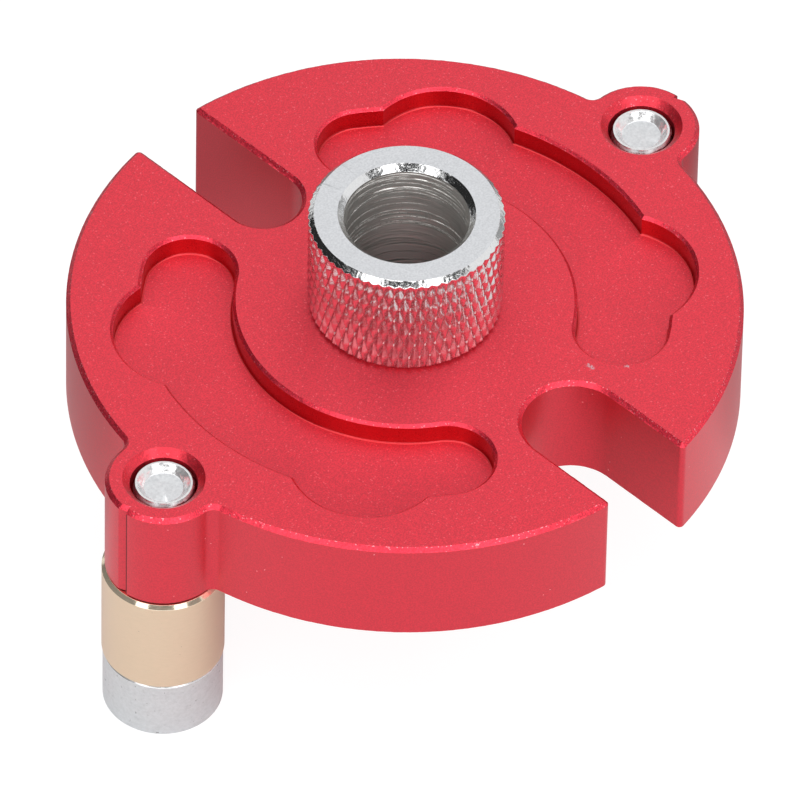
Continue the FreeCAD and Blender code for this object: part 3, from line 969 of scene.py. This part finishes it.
def make_pin(side, name):
    """A leg pin, from the inside of its hex socket round to the cup in its threaded end."""
    b = Builder()
    angle = turns(PIN_COUNT)
    made = Rows()

    def add(r, z, band):
        made.add(ring(r, z, PIN_COUNT, side * LEG_X), band)

    hexagon = SOCKET_HALF_FLATS / np.cos(np.mod(angle, math.pi / 3) - math.pi / 6)
    add(hexagon * 0.02, SOCKET_DEPTH + 0.35, TURNED)
    add(hexagon * 0.98, SOCKET_DEPTH, TURNED)
    add(hexagon, SOCKET_DEPTH - 0.02, TURNED)
    add(np.maximum(hexagon, SOCKET_CORNER - 0.02), SOCKET_CHAMFER, TURNED)
    add(np.full(PIN_COUNT, SOCKET_CORNER + SOCKET_CHAMFER), 0.0, TURNED)
    for r, z, band in foot_and_shoulder():
        add(np.full(PIN_COUNT, r), z, band)
    for z in np.arange(UNDERSIDE_Z + 1.0, PIN_END_Z - 0.02, 0.08):
        cone = PIN_R - PIN_END_CHAMFER + (PIN_END_Z - z)
        start = PIN_R - PIN_RELIEF_DEPTH + (z - UNDERSIDE_Z - PIN_RELIEF_WIDTH)
        r = PIN_R - thread_profile(angle, z, PIN_PITCH, PIN_THREAD_DEPTH)
        add(np.minimum(np.minimum(r, cone), start), z, PIN_THREAD)
    for r, z, band in pin_cup(side):
        add(r, z, band)
    low, high = made.skin(b)
    b.cap(low, TURNED, False)
    b.cap(high, CUP_FLOOR, True)
    return b.piece(name, [pin_turned, pin_cone, steel_thread, pin_end])


# ---- the leg sleeves -----------------------------------------------------------------------------

BRASS, BRASS_CHAMFER = range(2)


def make_sleeve(side, name):
    """A leg sleeve, as one closed profile turned about its pin."""
    b = Builder()
    count = 180
    inner = SHOULDER_R + SLEEVE_GAP
    chamfer = SLEEVE_BORE_CHAMFER
    profile = held(rounded([
        (inner, SLEEVE_LOW_Z + 0.4), (inner, SLEEVE_LOW_Z + chamfer), (inner + chamfer, SLEEVE_LOW_Z),
        (SLEEVE_R - SLEEVE_LOW_CHAMFER, SLEEVE_LOW_Z), (SLEEVE_R, SLEEVE_LOW_Z + SLEEVE_LOW_CHAMFER),
        (SLEEVE_R, SLEEVE_TOP_Z - SLEEVE_TOP_CHAMFER), (SLEEVE_R - SLEEVE_TOP_CHAMFER, SLEEVE_TOP_Z),
        (inner + chamfer, SLEEVE_TOP_Z), (inner, SLEEVE_TOP_Z - chamfer), (inner, SLEEVE_TOP_Z - 0.4),
    ], 0.02))
    bands = []
    for (r1, z1), (r2, z2) in zip(profile, profile[1:]):
        slanted = abs(r1 - r2) > 0.005 and abs(z1 - z2) > 0.005
        bands.append(BRASS_CHAMFER if slanted and z1 > SLEEVE_LOW_Z + 5 else BRASS)
    rows = [ring(r, z, count, side * LEG_X) for r, z in profile + profile[:1]]
    b.skin(rows, bands + [BRASS])
    return b.piece(name, [brass_satin, brass_polished])


# ---- every piece on its body ---------------------------------------------------------------------

pieces = [
    (make_body(), "jig", "red_anodised_aluminium", "jig_body"),
    (make_bush(), "bush", "plated_steel", "guide_bush"),
    (make_pin(-1, "leg_pin_left_turned"), "jig", "pin_steel", "leg_pin_left"),
    (make_pin(1, "leg_pin_right_turned"), "jig", "pin_steel", "leg_pin_right"),
    (make_sleeve(-1, "leg_sleeve_left_turned"), "left_roller", "sleeve_brass", "leg_sleeve_left"),
    (make_sleeve(1, "leg_sleeve_right_turned"), "right_roller", "sleeve_brass", "leg_sleeve_right"),
]
for piece, body, slot, node in pieces:
    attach(piece, body)
    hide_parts(node)


# ---- camera and lamps, from here on in metres ----------------------------------------------------

scene = bpy.context.scene
scene.view_settings.view_transform = "Standard"

# The camera that was fitted to the photo
EYE = (-0.6966069122737998, -0.6589243668005927, 1.0476763948574976)
BACK = Vector((-0.4938280804938642, -0.4673533281141225, 0.7332903201436651))
UP = Vector((0.5183113318648599, 0.5189070385803946, 0.679771173684351))
RIGHT = UP.cross(BACK)

camera = bpy.data.cameras.new("camera")
camera.sensor_width = 36.0
camera.lens = 777.5572
camera.clip_start, camera.clip_end = 0.1, 20.0
eye = bpy.data.objects.new("camera", camera)
scene.collection.objects.link(eye)
eye.matrix_world = Matrix((
    (RIGHT.x, UP.x, BACK.x, EYE[0]),
    (RIGHT.y, UP.y, BACK.y, EYE[1]),
    (RIGHT.z, UP.z, BACK.z, EYE[2]),
    (0, 0, 0, 1),
))
scene.camera = eye

TOWARD = Vector((BACK.x, BACK.y, 0)).normalized()
ASIDE = Vector((RIGHT.x, RIGHT.y, 0)).normalized()
MIDDLE = Vector((0, 0, 0.02))


def lamp(name, aside, toward, up, width, height, power):
    """A rectangular lamp that faces the middle of the part, placed as the camera sees it."""
    light = bpy.data.lights.new(name, "AREA")
    light.shape = "RECTANGLE"
    light.size, light.size_y = width, height
    light.energy = power
    thing = bpy.data.objects.new(name, light)
    scene.collection.objects.link(thing)
    thing.location = MIDDLE + ASIDE * aside + TOWARD * toward + Vector((0, 0, up))
    thing.rotation_mode = "QUATERNION"
    thing.rotation_quaternion = (MIDDLE - thing.location).to_track_quat("-Z", "Y")


lamp("overhead", 0.1, 0.2, 1.3, 1.6, 1.6, 10.3)
lamp("front", 0.0, 1.15, 0.8, 2.1, 1.0, 10.5)


# ---- cards ---------------------------------------------------------------------------------------

FLAG_DISTANCE = 1.3
LOW_CARD_UP = -0.0185          # below the middle, so 1.5 mm above the floor


def out_to(bearing, distance, up):
    """The point at this bearing from the camera's side, distance and height about the middle."""
    turn = math.radians(bearing)
    return MIDDLE + distance * (TOWARD * math.cos(turn) + ASIDE * math.sin(turn)) + Vector((0, 0, up))


def grey(shade):
    return (shade, shade, shade, 1)


def card(name, shade, rows):
    """A grey card through these rows of points, which only reflections show."""
    wide = len(rows[0])
    faces = [(wide * row + k, wide * row + k + 1, wide * row + k + wide + 1, wide * row + k + wide)
             for row in range(len(rows) - 1) for k in range(wide - 1)]
    mesh = bpy.data.meshes.new(name)
    mesh.from_pydata([tuple(p) for row in rows for p in row], [], faces)
    sheet = bpy.data.objects.new(name, mesh)
    scene.collection.objects.link(sheet)
    for ray in ("camera", "diffuse", "shadow", "transmission", "volume_scatter"):
        setattr(sheet, "visible_" + ray, False)
    look = blank_material(name)
    dull = add_node(look.node_tree, "ShaderNodeBsdfDiffuse", {"Color": grey(shade)})[0]
    add_node(look.node_tree, "ShaderNodeOutputMaterial", {"Surface": dull})
    mesh.materials.append(look)


def flag(name, shade, bearings, heights):
    """A bent card far out, between two bearings and two elevations in degrees."""
    card(name, shade, [[out_to(bearing, FLAG_DISTANCE * math.cos(height), FLAG_DISTANCE * math.sin(height))
                        for bearing in np.linspace(*bearings, 13)]
                       for height in np.radians(np.linspace(*heights, 7))])


def low_card(name, shade, reaches):
    """A card just above the floor behind the part, between two distances: partly a painted shadow of the
    part on the floor, which only reflections show.
    """
    card(name, shade, [[out_to(bearing, float(reach), LOW_CARD_UP) for bearing in np.linspace(95, 280, 38)]
                       for reach in np.linspace(*reaches, 3)])


flag("side_flag", 0.03, (-150, -48), (0, 38))
flag("camera_flag", 0.04, (-27, 20), (36, 51))
flag("stand_flag", 0.08, (42, 67), (29, 41))
flag("far_flag", 0.40, (112, 158), (0, 15))
# Painted shadow: these grey cards darken the floor round the back of the part, as reflections show it.
low_card("near_card", 0.58, (0.034, 0.052))
low_card("back_card", 0.2, (0.052, 0.15))


# ---- floor and world: white to the camera, and less bright to the part ---------------------------

def seen(tree, glossy):
    """1 for what the camera shows, this much in reflections and glass, 0 for light on the object."""
    path = add_node(tree, "ShaderNodeLightPath", {})
    either = reckon(tree, "MAXIMUM", path["Is Glossy Ray"], path["Is Transmission Ray"])
    less = reckon(tree, "MULTIPLY", either, glossy)
    return reckon(tree, "MAXIMUM", path["Is Camera Ray"], less)


def show(tree, out_kind, glossy, lit, shown):
    """Ends the tree with one shader for light on the object and another for what the camera shows."""
    blend = add_node(tree, "ShaderNodeMixShader", {0: seen(tree, glossy), 1: lit, 2: shown})[0]
    add_node(tree, out_kind, {"Surface": blend})


floor_net = bmesh.new()
bmesh.ops.create_grid(floor_net, x_segments=8, y_segments=8, size=2.5)
floor_mesh = bpy.data.meshes.new("floor")
floor_net.to_mesh(floor_mesh)
floor_net.free()
floor = bpy.data.objects.new("floor", floor_mesh)
floor.location.z = -0.02 * MM   # just clear of the feet, so that the two faces don't mix
scene.collection.objects.link(floor)

floor_look = blank_material("floor")
floor_mesh.materials.append(floor_look)
tree = floor_look.node_tree
paper = add_node(tree, "ShaderNodeBsdfDiffuse", {"Color": grey(0.9)})[0]
faint = add_node(tree, "ShaderNodeBsdfDiffuse", {"Color": grey(0.2)})[0]
glow = add_node(tree, "ShaderNodeEmission", {"Strength": 0.9})[0]
bright = add_node(tree, "ShaderNodeAddShader", {0: faint, 1: glow})[0]
show(tree, "ShaderNodeOutputMaterial", 0.1, paper, bright)

world = bpy.data.worlds.new("studio")
scene.world = world
world.use_nodes = True
tree = world.node_tree
tree.nodes.clear()
plain = add_node(tree, "ShaderNodeBackground", {"Color": grey(1), "Strength": 0.45})[0]
white = add_node(tree, "ShaderNodeBackground", {"Color": grey(1), "Strength": 1.0})[0]
show(tree, "ShaderNodeOutputWorld", 0.9, plain, white)
